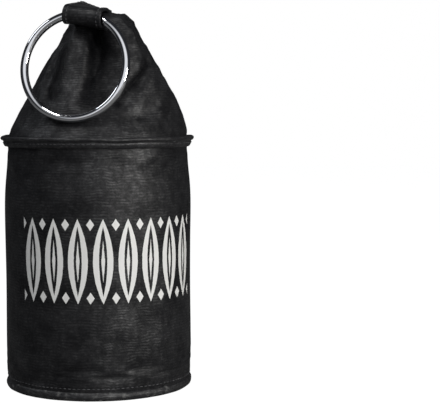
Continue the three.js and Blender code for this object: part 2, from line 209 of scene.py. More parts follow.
def add_colour_mix(tree, factor, a, b):
    node = tree.nodes.new("ShaderNodeMix")
    node.data_type = "RGBA"
    tree.links.new(factor, node.inputs["Factor"])
    for name, value in (("A", a), ("B", b)):
        if isinstance(value, tuple):
            node.inputs[name].default_value = value
        else:
            tree.links.new(value, node.inputs[name])
    return node.outputs["Result"]


def add_bump(tree, height, distance, below=None):
    node = tree.nodes.new("ShaderNodeBump")
    node.inputs["Distance"].default_value = distance
    tree.links.new(height, node.inputs["Height"])
    if below is not None:
        tree.links.new(below, node.inputs["Normal"])
    return node.outputs["Normal"]


def add_ribs(tree, split, place):
    """Uneven ribs across the cloth, 0 to 1, broken up along their length."""
    wander = add_math(tree, "MULTIPLY", add_noise(tree, place, 90, 3), RIB_WANDER)
    level = add_math(tree, "DIVIDE", add_math(tree, "ADD", split.outputs["Y"], wander), RIB_PITCH / (2 * math.pi))
    rib = add_math(tree, "ADD", 0.5, add_math(tree, "MULTIPLY", add_math(tree, "SINE", level), 0.5))
    broken = add_ramp(tree, add_noise(tree, place, 260, 3), 0.38, 0.66)
    return add_math(tree, "MULTIPLY", rib, broken)


def add_gloss(tree, ribs, mottle, grain, fade_and_painted_light, painted_fold_shading):
    """The cloth's shine: more on the ribs and on rubbed patches, raised on a lightened welt, cut down as painted shade
    in the folds and raised as a painted highlight on a ridge.
    """
    gloss = add_math(tree, "ADD", 1 - RIB_SHARE / 2, add_math(tree, "MULTIPLY", ribs, RIB_SHARE))
    patch = add_math(tree, "ADD", 1 - MOTTLE_SHARE / 2, add_math(tree, "MULTIPLY", mottle, MOTTLE_SHARE))
    speck = add_math(tree, "ADD", 1 - GRAIN_SHARE / 2, add_math(tree, "MULTIPLY", grain, GRAIN_SHARE))
    gloss = add_math(tree, "MULTIPLY", add_math(tree, "MULTIPLY", gloss, patch), speck)
    # Shine raised by the same lift that paints a welt lighter.
    gloss = add_math(tree, "MULTIPLY", gloss, CLOTH_GLOSS * (1 + fade_and_painted_light))
    # Less shine as painted shade in the folds, more as a painted highlight on a ridge.
    if painted_fold_shading is not None:
        gloss = add_math(tree, "MULTIPLY", gloss, add_math(tree, "SUBTRACT", 1, painted_fold_shading))
    return gloss


def twill(name, print_mask=None, wear=0.0, fade_and_painted_light=0.0, folds=False):
    """Black cotton twill: two threads over, one under, with uneven ribs across and dusty patches. A welt's
    cloth can be lightened all over, partly as fading and partly as painted light. With folds, the piece's
    fold attribute darkens the cloth as painted shade in the folds and lightens it as a painted highlight on a ridge."""
    material = bpy.data.materials.new(name)
    material.use_nodes = True
    tree = material.node_tree
    shader = tree.nodes["Principled BSDF"]
    uv = tree.nodes.new("ShaderNodeUVMap")
    uv.uv_map = "cloth"
    split = tree.nodes.new("ShaderNodeSeparateXYZ")
    tree.links.new(uv.outputs["UV"], split.inputs[0])
    place = tree.nodes.new("ShaderNodeTexCoord").outputs["Object"]

    across = add_math(tree, "DIVIDE", split.outputs["X"], THREAD_PITCH)
    up = add_math(tree, "DIVIDE", split.outputs["Y"], THREAD_PITCH)
    column, row = add_math(tree, "FLOOR", across), add_math(tree, "FLOOR", up)
    step = add_math(tree, "FLOORED_MODULO", add_math(tree, "ADD", column, row), 3)
    warp_over = add_math(tree, "GREATER_THAN", step, 0.5)
    warp_round = add_math(tree, "ABSOLUTE", add_math(tree, "SINE", add_math(tree, "MULTIPLY", across, math.pi)))
    weft_round = add_math(tree, "ABSOLUTE", add_math(tree, "SINE", add_math(tree, "MULTIPLY", up, math.pi)))
    warp = add_math(tree, "MULTIPLY", warp_over, warp_round)
    weft_over = add_math(tree, "SUBTRACT", 1, warp_over)
    weft = add_math(tree, "MULTIPLY", add_math(tree, "MULTIPLY", weft_over, weft_round), 0.7)
    weave = add_math(tree, "ADD", warp, weft)

    slub = add_noise(tree, uv.outputs["UV"], 60, 3, (1, 9, 1))
    mottle = add_ramp(tree, add_noise(tree, place, 62, 5), 0.36, 0.66)
    ribs = add_ribs(tree, split, place)
    grain = add_ramp(tree, add_noise(tree, place, 620, 2), 0.34, 0.66)
    tone = add_math(tree, "MULTIPLY", weave, 0.35)
    tone = add_math(tree, "ADD", tone, add_math(tree, "MULTIPLY", add_ramp(tree, slub, 0.32, 0.68), 0.30))
    tone = add_math(tree, "ADD", tone, add_math(tree, "MULTIPLY", mottle, 0.30))
    tone = add_math(tree, "ADD", tone, add_math(tree, "MULTIPLY", grain, 0.10))
    # Lightens the whole cloth, partly as fading and partly as painted light where a welt catches the light.
    tone = add_math(tree, "ADD", tone, fade_and_painted_light)
    painted_fold_shading = None
    # Painted fold shading: darker cloth as painted shade in the folds, paler cloth as a painted highlight on a ridge.
    if folds:
        fold = tree.nodes.new("ShaderNodeAttribute")
        fold.attribute_name = "painted_fold_shading"
        painted_fold_shading = fold.outputs["Fac"]
        tone = add_math(tree, "MULTIPLY", tone, add_math(tree, "SUBTRACT", 1, painted_fold_shading))
    colour = add_colour_mix(tree, tone, CLOTH_BLACK, CLOTH_GREY)
    if wear > 0:
        rubbed = add_ramp(tree, add_noise(tree, place, 230, 3), 0.56, 0.76)
        rubbed = add_math(tree, "MULTIPLY", rubbed, wear)
        colour = add_colour_mix(tree, rubbed, colour, WORN_GREY)
    if print_mask is not None:
        colour = add_colour_mix(tree, print_mask(tree, place, weave), colour, PRINT_WHITE)
    tree.links.new(colour, shader.inputs["Base Color"])

    rumple = add_bump(tree, add_noise(tree, place, 95, 3), RUMPLE_DEPTH)
    uneven = add_bump(tree, add_math(tree, "ADD", slub, add_math(tree, "MULTIPLY", ribs, 0.4)), SLUB_DEPTH, rumple)
    tree.links.new(add_bump(tree, weave, WEAVE_DEPTH, uneven), shader.inputs["Normal"])
    shader.inputs["Roughness"].default_value = CLOTH_ROUGHNESS
    tree.links.new(add_gloss(tree, ribs, mottle, grain, fade_and_painted_light, painted_fold_shading), shader.inputs["Specular IOR Level"])
    shader.inputs["Sheen Weight"].default_value = CLOTH_SHEEN
    shader.inputs["Sheen Roughness"].default_value = 0.45
    return material


def new_piece(name, points, faces, uvs, material):
    """uvs holds one pair in metres for each corner of each face."""
    mesh = bpy.data.meshes.new(name)
    mesh.from_pydata([tuple(p) for p in points], [], faces)
    layer = mesh.uv_layers.new(name="cloth")
    layer.data.foreach_set("uv", np.asarray(uvs, np.float32).ravel())
    mesh.polygons.foreach_set("use_smooth", [True] * len(mesh.polygons))
    mesh.materials.append(material)
    mesh.update()
    piece = bpy.data.objects.new(name, mesh)
    scene.collection.objects.link(piece)
    return piece


def dressed(piece, node, body="bag"):
    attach(piece, body)
    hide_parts(node)
    return piece


def add_subdivision(piece, levels=1):
    modifier = piece.modifiers.new("Subdivision", "SUBSURF")
    modifier.levels = modifier.render_levels = levels
    modifier.uv_smooth = "NONE"


def build_base_panel():
    low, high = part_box("base_panel")
    radius, top, soft = high.x, high.z, 0.0006
    profile = [(radius * k / PANEL_RINGS, 0.0) for k in range(1, PANEL_RINGS)]
    profile += [(radius - soft, 0.0), (radius, soft), (radius, top - soft), (radius - soft, top)]
    profile += [(radius * k / PANEL_RINGS, top) for k in range(PANEL_RINGS - 1, 0, -1)]
    points, faces, uvs = [], [], []
    for r, z in profile:
        for k in range(ROUND_STEPS):
            turn = 2 * math.pi * k / ROUND_STEPS
            points.append((r * math.cos(turn), r * math.sin(turn), z))
    points += [(0, 0, 0), (0, 0, top)]
    for ring in range(len(profile) - 1):
        for k in range(ROUND_STEPS):
            a, b = ring * ROUND_STEPS + k, ring * ROUND_STEPS + (k + 1) % ROUND_STEPS
            faces.append((a, b, b + ROUND_STEPS, a + ROUND_STEPS))
    last = (len(profile) - 1) * ROUND_STEPS
    for k in range(ROUND_STEPS):
        after = (k + 1) % ROUND_STEPS
        faces.append((len(points) - 2, after, k))
        faces.append((last + k, last + after, len(points) - 1))
    for face in faces:
        uvs += [points[v][:2] for v in face]
    return dressed(new_piece("base_panel_cloth", points, faces, uvs, twill("panel_twill")), "base_panel")


build_base_panel()

# The base welt is the folded edge of panel and sleeve, turned to the outside and topstitched into a
# firm band round the foot. Its lower roll is rubbed pale where it has stood on floors.
WORN_GREY = (0.30, 0.30, 0.29, 1)
WELT_WAVE = 0.00028
BASE_WELT_BULGE = 0.0011
BASE_WELT_BACK = 0.0016


def turned_band(name, profile, material, wave, steps=ROUND_STEPS, seed=0.0):
    """A closed profile of (radius, height), outside first from low to high, turned about the bag's middle.
    Each point also gets a soft waviness, as sewn cloth has."""
    points, faces, uvs = [], [], []
    count = len(profile)
    along = [0.0]
    for (r0, z0), (r1, z1) in zip(profile, profile[1:] + profile[:1]):
        along.append(along[-1] + math.hypot(r1 - r0, z1 - z0))
    for k in range(steps):
        turn = 2 * math.pi * k / steps
        for r, z in profile:
            where = Vector((3.2 * math.cos(turn), 3.2 * math.sin(turn), seed))
            r_wave = wave * smooth_noise(where * 2.1)
            z_wave = wave * smooth_noise(where * 1.3 + Vector((0, 0, 7)))
            free = 1.0 if z > profile[0][1] + 1e-4 else 0.0
            points.append(((r + r_wave) * math.cos(turn), (r + r_wave) * math.sin(turn), z + z_wave * free))
    girth = 2 * math.pi * max(r for r, _ in profile)
    for k in range(steps):
        for j in range(count):
            a, b = k * count + j, k * count + (j + 1) % count
            c, d = ((k + 1) % steps) * count + (j + 1) % count, ((k + 1) % steps) * count + j
            faces.append((a, d, c, b))
            u0, u1 = girth * k / steps, girth * (k + 1) / steps
            uvs += [(u0, along[j]), (u1, along[j]), (u1, along[j + 1]), (u0, along[j + 1])]
    return new_piece(name, points, faces, uvs, material)


def base_welt_profile():
    low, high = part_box("base_welt")
    outer, top = high.x, high.z
    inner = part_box("base_panel")[1].x + 0.0003
    rolls = []
    for k in range(15):
        share = k / 14
        bulge = BASE_WELT_BULGE * math.sin(math.pi * share) ** 0.7
        rolls.append((outer - BASE_WELT_BULGE + bulge, 0.0002 + (top - 0.0004) * share))
    return [(inner, 0.0)] + [(outer - BASE_WELT_BACK, 0.0)] + rolls + [(outer - BASE_WELT_BACK, top), (inner, top)]


# The whole welt is lightened, partly as fading and partly as painted light on its lit roll.
base_welt_cloth = turned_band("base_welt_cloth", base_welt_profile(), twill("welt_twill", wear=0.30, fade_and_painted_light=0.60), WELT_WAVE, seed=3.0)
add_subdivision(base_welt_cloth)
dressed(base_welt_cloth, "base_welt")

# The sleeve is the round wall of the bag, one length of twill lapped and sewn at the back, and packed
# tight with sand below and loose fibre above. Its front carries a plain white printed band of leaves.
PRINT_WHITE = (0.82, 0.82, 0.80, 1)
PRINT_MIDDLE_DEG = 10
PRINT_SPREAD_DEG = 119
PRINT_LOW = 0.0595
PRINT_HIGH = 0.1110
LEAF_COUNT = 8
PRINT_RAGGED = 0.03
SLEEVE_ROWS = 84
SLEEVE_EVENED = 0.009
SLEEVE_CREASES = (
    # bearing in degrees from the front, height, length round, slope, depth, width
    (-30, 0.1448, 0.050, 0.02, 0.0011, 0.0035),
    (34, 0.1425, 0.022, 0.50, 0.0006, 0.0034),
    (48, 0.1405, 0.018, 0.35, 0.0005, 0.0032),
    (14, 0.1440, 0.020, -0.25, 0.0004, 0.0032),
    (66, 0.1300, 0.022, 0.60, 0.0006, 0.0040),
    (-62, 0.1330, 0.022, -0.45, 0.0009, 0.0040),
    (-20, 0.0150, 0.040, 0.05, 0.0007, 0.0050),
    (120, 0.1390, 0.030, 0.35, 0.0011, 0.0035),
    (-130, 0.1400, 0.032, -0.30, 0.0011, 0.0035),
    (160, 0.1250, 0.026, 0.45, 0.0009, 0.0040),
)
SLEEVE_PRESSURE = 3.0
SLEEVE_CAP = 0.0010


def leaf_mask(tree, place, weave):
    """White where the printed leaves are: tall pointed leaves in a row, each with a bare vein, and a
    small lozenge above and below each gap between them."""
    split = tree.nodes.new("ShaderNodeSeparateXYZ")
    tree.links.new(place, split.inputs[0])
    bearing = add_math(tree, "ARCTAN2", split.outputs["X"], add_math(tree, "MULTIPLY", split.outputs["Y"], -1))
    start = math.radians(PRINT_MIDDLE_DEG - PRINT_SPREAD_DEG / 2)
    pitch = math.radians(PRINT_SPREAD_DEG) / LEAF_COUNT
    cell = add_math(tree, "DIVIDE", add_math(tree, "SUBTRACT", bearing, start), pitch)
    inside = add_math(tree, "MULTIPLY", add_math(tree, "GREATER_THAN", cell, 0), add_math(tree, "LESS_THAN", cell, LEAF_COUNT))
    ragged = add_math(tree, "MULTIPLY", add_math(tree, "SUBTRACT", add_noise(tree, place, 420, 2), 0.5), PRINT_RAGGED)
    part = add_math(tree, "ADD", add_math(tree, "SUBTRACT", add_math(tree, "FRACT", cell), 0.5), ragged)
    side = add_math(tree, "ABSOLUTE", part)
    middle, half = (PRINT_LOW + PRINT_HIGH) / 2, (PRINT_HIGH - PRINT_LOW) / 2
    level = add_math(tree, "ABSOLUTE", add_math(tree, "DIVIDE", add_math(tree, "SUBTRACT", split.outputs["Z"], middle), half))
    belly = add_math(tree, "SUBTRACT", 1, add_math(tree, "POWER", level, 2))
    leaf = add_math(tree, "LESS_THAN", side, add_math(tree, "MULTIPLY", belly, 0.40))
    vein_belly = add_math(tree, "SUBTRACT", 1, add_math(tree, "POWER", add_math(tree, "DIVIDE", level, 0.82), 2))
    vein = add_math(tree, "LESS_THAN", side, add_math(tree, "MULTIPLY", vein_belly, 0.16))
    seed_ = add_math(tree, "ADD", add_math(tree, "DIVIDE", side, 0.075), add_math(tree, "DIVIDE", level, 0.50))
    seed_ = add_math(tree, "LESS_THAN", seed_, 1)
    open_leaf = add_math(tree, "MULTIPLY", leaf, add_math(tree, "SUBTRACT", 1, vein))
    gap_side = add_math(tree, "SUBTRACT", 0.5, side)
    gap_level = add_math(tree, "ABSOLUTE", add_math(tree, "SUBTRACT", level, 0.86))
    lozenge = add_math(tree, "ADD", add_math(tree, "DIVIDE", gap_side, 0.16), add_math(tree, "DIVIDE", gap_level, 0.14))
    lozenge = add_math(tree, "LESS_THAN", lozenge, 1)
    whole = add_math(tree, "MAXIMUM", add_math(tree, "MAXIMUM", open_leaf, seed_), lozenge)
    whole = add_math(tree, "MULTIPLY", whole, inside)
    cover = add_math(tree, "ADD", 0.90, add_math(tree, "MULTIPLY", weave, 0.10))
    return add_math(tree, "MULTIPLY", whole, cover)


def sleeve_wall():
    """(radius, height) pairs up the wall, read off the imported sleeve's own outside."""
    mesh = frame["nodes"]["filled_sleeve"].data
    co = np.array([v.co for v in mesh.vertices])
    side = np.abs(np.arctan2(co[:, 0], -co[:, 1])) < math.radians(140)
    radius = np.hypot(co[:, 0], co[:, 1])
    heights = np.unique(np.round(co[side & (radius > 0.05), 2], 5))
    return [(radius[side & (np.abs(co[:, 2] - z) < 2e-5)].mean(), z) for z in heights]


def build_sleeve():
    wall = sleeve_wall()
    radii, heights = [r for r, _ in wall], [z for _, z in wall]
    low, high = heights[0], heights[-1]
    points, faces, uvs = [], [], []
    rows = [low + (high - low) * k / SLEEVE_ROWS for k in range(SLEEVE_ROWS + 1)]
    for z in rows:
        span = min(SLEEVE_EVENED, z - low, high - z)
        r = float(np.mean([np.interp(z + span * k / 4, heights, radii) for k in range(-4, 5)]))
        for k in range(ROUND_STEPS):
            turn = 2 * math.pi * k / ROUND_STEPS
            points.append((r * math.sin(turn), -r * math.cos(turn), z))
    girth = 2 * math.pi * max(radii)
    for j in range(SLEEVE_ROWS):
        for k in range(ROUND_STEPS):
            a, b = j * ROUND_STEPS + k, j * ROUND_STEPS + (k + 1) % ROUND_STEPS
            faces.append((a, b, b + ROUND_STEPS, a + ROUND_STEPS))
            u0, u1 = girth * k / ROUND_STEPS, girth * (k + 1) / ROUND_STEPS
            uvs += [(u0, rows[j]), (u1, rows[j]), (u1, rows[j + 1]), (u0, rows[j + 1])]
    bottom, top = len(points), len(points) + 1
    points += [(0, 0, low), (0, 0, high)]
    last = SLEEVE_ROWS * ROUND_STEPS
    for k in range(ROUND_STEPS):
        after = (k + 1) % ROUND_STEPS
        for face in ((bottom, after, k), (last + k, last + after, top)):
            faces.append(face)
            uvs += [points[v][:2] for v in face]
    piece = new_piece("sleeve_cloth", points, faces, uvs, twill("sleeve_twill", print_mask=leaf_mask))
    return piece, low, high


def crease_depth(bearing, z):
    depth = 0.0
    for middle_deg, height, length, slope, deep, wide in SLEEVE_CREASES:
        off = math.remainder(bearing - math.radians(middle_deg), 2 * math.pi) * 0.0589
        above = z - height - slope * off
        depth += deep * math.exp(-((2 * off / length) ** 2)) * math.exp(-((above / wide) ** 2))
        depth -= 0.6 * deep * math.exp(-((2 * off / length) ** 2)) * math.exp(-(((above - 1.6 * wide) / wide) ** 2))
    return depth


def crease_sleeve(piece, low, high):
    for v in piece.data.vertices:
        r = math.hypot(v.co.x, v.co.y)
        if r < 0.03:
            continue
        bearing = math.atan2(v.co.x, -v.co.y)
        free = min(1.0, (v.co.z - low) / 0.012) * min(1.0, (high - v.co.z) / 0.012)
        soft = 0.0005 * smooth_noise(Vector((v.co.x * 40, v.co.y * 40, v.co.z * 22)))
        moved = (r - (crease_depth(bearing, v.co.z) - soft) * max(free, 0)) / r
        v.co.x, v.co.y = v.co.x * moved, v.co.y * moved


def swell(piece, held, pressure, cap, growth, frames=20):
    """Cloth under the pressure of its filling. held(co) says which points stay, and no point moves
    further than the cap."""
    group = piece.vertex_groups.new(name="held")
    group.add([v.index for v in piece.data.vertices if held(v.co)], 1.0, "REPLACE")
    rest = np.array([v.co for v in piece.data.vertices])
    cloth = piece.modifiers.new("Cloth", "CLOTH")
    settings = cloth.settings
    settings.quality = 6
    settings.mass = 0.25
    settings.tension_stiffness = settings.compression_stiffness = 18
    settings.shear_stiffness = 6
    settings.bending_stiffness = 0.6
    settings.use_pressure = True
    settings.uniform_pressure_force = pressure
    settings.shrink_min = -growth
    settings.effector_weights.gravity = 0
    settings.vertex_group_mass = "held"
    cloth.point_cache.frame_start, cloth.point_cache.frame_end = 1, frames
    for step in range(1, frames + 1):
        scene.frame_set(step)
    graph = bpy.context.evaluated_depsgraph_get()
    shaped = piece.evaluated_get(graph).to_mesh()
    moved = np.array([v.co for v in shaped.vertices]) - rest
    piece.evaluated_get(graph).to_mesh_clear()
    reach = np.linalg.norm(moved, axis=1)
    kept = np.where(reach > 1e-9, cap * np.tanh(reach / cap) / np.maximum(reach, 1e-9), 0)
    piece.modifiers.remove(cloth)
    piece.vertex_groups.remove(group)
    piece.data.vertices.foreach_set("co", (rest + moved * kept[:, None]).astype(np.float32).ravel())
    piece.data.update()
    scene.frame_set(1)


sleeve_cloth, sleeve_low, sleeve_high = build_sleeve()
swell(sleeve_cloth, lambda co: co.z < sleeve_low + 0.006 or co.z > sleeve_high - 0.006 or math.hypot(co.x, co.y) < 0.05,
      SLEEVE_PRESSURE, SLEEVE_CAP, 0.006)
crease_sleeve(sleeve_cloth, sleeve_low, sleeve_high)
add_subdivision(sleeve_cloth)
dressed(sleeve_cloth, "filled_sleeve")

# The rim welt joins sleeve and crown. The seam's turnings stand out as a band: a rolled lip on top, a
# groove under it, and a flat part held down by a row of topstitching.
RIM_WAVE = 0.00055
RIM_TUCKED = 0.0008
LIP_STEPS = 10


def rim_welt_profile():
    low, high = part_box("rim_welt")
    inner = min(math.hypot(v.co.x, v.co.y) for v in frame["nodes"]["rim_welt"].data.vertices) - RIM_TUCKED
    outer, top, foot = high.x, high.z, low.z
    lip = 0.0013
    band = [(inner, foot), (outer - 0.0040, foot), (outer - 0.0027, foot + 0.0004), (outer - 0.0021, foot + 0.0014)]
    band += [(outer - 0.0017, foot + 0.0024), (outer - 0.0017, foot + 0.0031), (outer - 0.0019, top - 2 * lip - 0.0004)]
    lips = []
    for k in range(LIP_STEPS + 1):
        angle = math.radians(-70 + 190 * k / LIP_STEPS)
        lips.append((outer - lip + lip * math.cos(angle), top - lip + lip * math.sin(angle)))
    return band + lips + [(outer - 0.0030, top - 0.0016), (inner, top - 0.0018)]


# The whole welt is lightened, partly as fading and partly as painted light on its lit lip.
rim_welt_cloth = turned_band("rim_welt_cloth", rim_welt_profile(), twill("rim_twill", wear=0.10, fade_and_painted_light=0.55), RIM_WAVE, seed=11.0)
add_subdivision(rim_welt_cloth)
dressed(rim_welt_cloth, "rim_welt")

# The crown is the bag's top panel, gathered by hand and drawn forward to a short crest. Its cloth lies
# in deep folds under the strap, with fine crumples between them where the fill is loose.
CROWN_VOXEL = 0.0019
CROWN_PRESSURE = 1.5
CROWN_CAP = 0.0007
CROWN_GROWTH = 0.02
SWING_STEPS = 26
CREST_CRUMPLE = 1.6
RING_CLEAR = 0.00035
SAG_DEPTH = 0.0044
STRAP_SEATED = 0.0013
SAG_BEHIND = 0.019
SAG_HALF_WIDTH = 0.0125
SAG_FADE = 0.007
FRONT_FOLDS = (
    # upper end (x, z), lower end (x, z), depth above and below, reach left and right, painted shade
    # in the fold, where less than nothing is a painted highlight on a ridge
    ((0.0005, 0.2260), (-0.0095, 0.1790), 0.0024, 0.0008, 0.0050, 0.0185, 0.85),
    ((-0.0180, 0.2160), (-0.0297, 0.1860), 0.0006, 0.0016, 0.0028, 0.0028, 0.75),
    ((0.0300, 0.2035), (0.0120, 0.1815), 0.0012, 0.0023, 0.0020, 0.0056, 0.98),
    ((-0.0150, 0.2200), (-0.0215, 0.1800), -0.0005, -0.0005, 0.0060, 0.0075, -0.60),
)
FOLD_END_FADE = 0.007


def merged_copy(node, name):
    mesh = frame["nodes"][node].data.copy()
    mesh.name = name
    shape = bmesh.new()
    shape.from_mesh(mesh)
    bmesh.ops.remove_doubles(shape, verts=shape.verts, dist=2e-6)
    shape.to_mesh(mesh)
    shape.free()
    piece = bpy.data.objects.new(name, mesh)
    scene.collection.objects.link(piece)
    return piece


def remeshed(piece, voxel):
    modifier = piece.modifiers.new("Remesh", "REMESH")
    modifier.mode, modifier.voxel_size = "VOXEL", voxel
    graph = bpy.context.evaluated_depsgraph_get()
    mesh = bpy.data.meshes.new_from_object(piece.evaluated_get(graph))
    piece.modifiers.remove(modifier)
    piece.data = mesh
    return piece


def smoothed(piece, times):
    """Evens the voxel steps out."""
    shape = bmesh.new()
    shape.from_mesh(piece.data)
    for _ in range(times):
        bmesh.ops.smooth_vert(shape, verts=shape.verts, factor=0.5, use_axis_x=True, use_axis_y=True, use_axis_z=True)
    shape.to_mesh(piece.data)
    shape.free()
    piece.data.update()


def ease(value, low, high):
    share = min(1.0, max(0.0, (value - low) / (high - low)))
    return share * share * (3 - 2 * share)


def crown_middle_line():
    """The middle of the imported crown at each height, to measure bearings from."""
    co = np.array([v.co for v in frame["nodes"]["crown"].data.vertices])
    low, high = co[:, 2].min(), co[:, 2].max()
    levels = np.linspace(low, high - 0.006, 24)
    middles, radii = [], []
    for z in levels:
        near = co[np.abs(co[:, 2] - z) < 0.005]
        middle = (near[:, :2].max(0) + near[:, :2].min(0)) / 2
        middles.append(middle)
        radii.append(np.hypot(*(near[:, :2].max(0) - near[:, :2].min(0))) / 2 / math.sqrt(2))
    return levels, np.array(middles), np.array(radii)


def wrap_crown_cloth(piece):
    """The weave runs up the panel at the front and turns aslant to the seam at the back."""
    levels, middles, radii = crown_middle_line()
    mesh = piece.data
    co = np.array([v.co for v in mesh.vertices])
    middle_x = np.interp(co[:, 2], levels, middles[:, 0])
    middle_y = np.interp(co[:, 2], levels, middles[:, 1])
    reach = np.interp(co[:, 2], levels, radii)
    bearing = np.arctan2(co[:, 0] - middle_x, -(co[:, 1] - middle_y))
    slant = co[:, 2] * 1.25
    layer = mesh.uv_layers.new(name="cloth")
    uv = np.zeros((len(mesh.loops), 2), np.float32)
    for face in mesh.polygons:
        corners = [mesh.loops[i].vertex_index for i in face.loop_indices]
        first = bearing[corners[0]]
        for i, v in zip(face.loop_indices, corners):
            near = bearing[v] + 2 * math.pi * round((first - bearing[v]) / (2 * math.pi))
            uv[i] = (near * reach[v], slant[v])
    layer.data.foreach_set("uv", uv.ravel())


def crumple(piece):
    """Small sharp creases in the slack cloth, longer up and down than across."""
    piece.data.update()
    low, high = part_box("crown")
    normals = [v.normal.copy() for v in piece.data.vertices]
    for v, normal in zip(piece.data.vertices, normals):
        free = min(1.0, max(0.0, (v.co.z - low.z - 0.004) / 0.02))
        where = Vector((v.co.x * 75, v.co.y * 75, v.co.z * 38))
        ridge = 1 - abs(smooth_noise(where)) * 2
        fine = smooth_noise(where * 2.3)
        slack = 1 + CREST_CRUMPLE * ease(v.co.z, high.z - 0.028, high.z - 0.012)
        v.co += normal * free * slack * (0.0007 * ridge * abs(ridge) + 0.0004 * fine - 0.0004)
    piece.data.update()


def deepen_folds(piece):
    """Presses the front folds in, and notes the painted shade on their cloth, with a painted highlight on a ridge where
    the table's value is below nothing.
    """
    _, middles, _ = crown_middle_line()
    painted_fold_shading = np.zeros(len(piece.data.vertices), np.float32)
    for v in piece.data.vertices:
        if v.co.y > middles[0][1] - 0.012 and v.normal.y > -0.15:
            continue
        for (x0, z0), (x1, z1), deep0, deep1, left, right, fold_shading_share in FRONT_FOLDS:
            share = (z0 - v.co.z) / (z0 - z1)
            within = ease(v.co.z, z1 - FOLD_END_FADE, z1) * (1 - ease(v.co.z, z0, z0 + FOLD_END_FADE))
            share = min(1.0, max(0.0, share))
            off = v.co.x - (x0 + (x1 - x0) * share)
            near = 1 - ease(-off, 0, left) if off < 0 else max(0.0, 1 - off / right)
            v.co.y += (deep0 + (deep1 - deep0) * share) * near * within
            # Painted shade in the fold; a value below nothing paints a highlight on a ridge.
            painted_fold_shading[v.index] += fold_shading_share * near ** 0.7 * within
    piece.data.attributes.new("painted_fold_shading", "FLOAT", "POINT").data.foreach_set("value", np.clip(painted_fold_shading, -1, 0.98))
    piece.data.update()


def strap_frame():
    """The loop's own directions: level to the back, up, and through the loop, measured on the joint."""
    joint = frame["joints"][0]
    through = -Vector(joint["axis"]).normalized()
    back = Vector((-through.y, through.x, 0)).normalized()
    return Vector(joint["pos_m"]), back, through.cross(back).normalized(), through


def sag_aside(piece, depth):
    """The crest slackens towards the right behind the strap, and takes the strap's tail down with it."""
    origin, back, up, through = strap_frame()
    for v in piece.data.vertices:
        local = v.co - origin
        behind = ease(local.dot(back), 0.001, SAG_BEHIND)
        aside = ease(local.dot(through), -SAG_HALF_WIDTH, SAG_HALF_WIDTH)
        past = 1 - ease(local.dot(through), SAG_HALF_WIDTH, SAG_HALF_WIDTH + SAG_FADE)
        below = ease(local.dot(up), -0.022, -0.004)
        v.co.z -= depth * behind * aside * past * below
    piece.data.update()


def ring_circle():
    """Centre, facing and radius of the ring's wire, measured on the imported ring."""
    co = np.array([v.co for v in frame["nodes"]["pull_ring"].data.vertices])
    centre = co.mean(0)
    _, _, axes = np.linalg.svd(co - centre, full_matrices=False)
    facing = axes[2] if axes[2][1] > 0 else -axes[2]
    local = co - centre
    flat = local - np.outer(local @ facing, facing)
    reach = np.linalg.norm(flat, axis=1)
    return Vector(centre), Vector(facing), float((reach.max() + reach.min()) / 2), float((reach.max() - reach.min()) / 2)


def keep_clear_of_ring(piece, clear):
    """Presses the cloth in wherever it would touch the ring, hanging or anywhere on its swing."""
    centre, facing, radius, wire = ring_circle()
    joint = frame["joints"][0]
    hinge, axis = Vector(joint["pos_m"]), Vector(joint["axis"])
    co = np.array([v.co for v in piece.data.vertices])
    for step in range(SWING_STEPS + 1):
        turn = Matrix.Rotation(math.radians(joint["range_deg"][1]) * step / SWING_STEPS, 3, axis)
        c = np.array(hinge + turn @ (centre - hinge))
        n = np.array(turn @ facing)
        local = co - c
        flat = local - np.outer(local @ n, n)
        reach = np.maximum(np.linalg.norm(flat, axis=1), 1e-9)
        on_wire = c + flat / reach[:, None] * radius
        away = co - on_wire
        gap = np.maximum(np.linalg.norm(away, axis=1), 1e-9)
        near = gap < wire + clear
        co[near] = on_wire[near] + away[near] / gap[near, None] * (wire + clear)
    piece.data.vertices.foreach_set("co", co.astype(np.float32).ravel())
    piece.data.update()


crown_cloth = remeshed(merged_copy("crown", "crown_cloth"), CROWN_VOXEL)
smoothed(crown_cloth, 2)
wrap_crown_cloth(crown_cloth)
crown_low, crown_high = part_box("crown")
swell(crown_cloth, lambda co: co.z < crown_low.z + 0.006 or co.z > crown_high.z - 0.012,
      CROWN_PRESSURE, CROWN_CAP, CROWN_GROWTH)
sag_aside(crown_cloth, SAG_DEPTH - STRAP_SEATED)
deepen_folds(crown_cloth)
crumple(crown_cloth)
keep_clear_of_ring(crown_cloth, RING_CLEAR)
crown_cloth.data.materials.clear()
# The crown's twill takes painted shade in its folds and a painted highlight on a ridge.
crown_cloth.data.materials.append(twill("crown_twill", folds=True))
crown_cloth.data.polygons.foreach_set("use_smooth", [True] * len(crown_cloth.data.polygons))
add_subdivision(crown_cloth)
dressed(crown_cloth, "crown")

# The ring strap is a strip of the same twill, hemmed along both edges and folded round the wire. Its
# upper tail is sewn down on the crest, and the lower one is caught in the crown's front.
STRAP_ROWS = 30
HEM_WIDTH = 0.0030
HEM_THICKER = 0.0005
STRAP_SLACK = 0.0005
TAIL_NARROW = 0.22


def strap_sizes():
    """Loop radii and the two tails' lengths and rises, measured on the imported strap."""
    origin, back, up, through = strap_frame()
    local = [v.co - origin for v in frame["nodes"]["ring_strap"].data.vertices]
    flat = [(p.dot(back), p.dot(up)) for p in local]
    inner = min(math.hypot(*p) for p in flat)
    outer = max(math.hypot(*p) for p in flat if p[0] < -inner)
    high = max((p for p in flat if p[1] > 0), key=lambda p: math.hypot(*p))
    low = max((p for p in flat if p[1] < 0), key=lambda p: math.hypot(*p))
    tails = []
    for p, side in ((high, 1), (low, -1)):
        length = math.sqrt(p[0] ** 2 + p[1] ** 2 - outer ** 2)
        tails.append((length, math.atan2(p[1], p[0]) - side * math.atan2(outer, length)))
    width = 2 * max(abs(p.dot(through)) for p in local)
    return inner, outer, tails, width


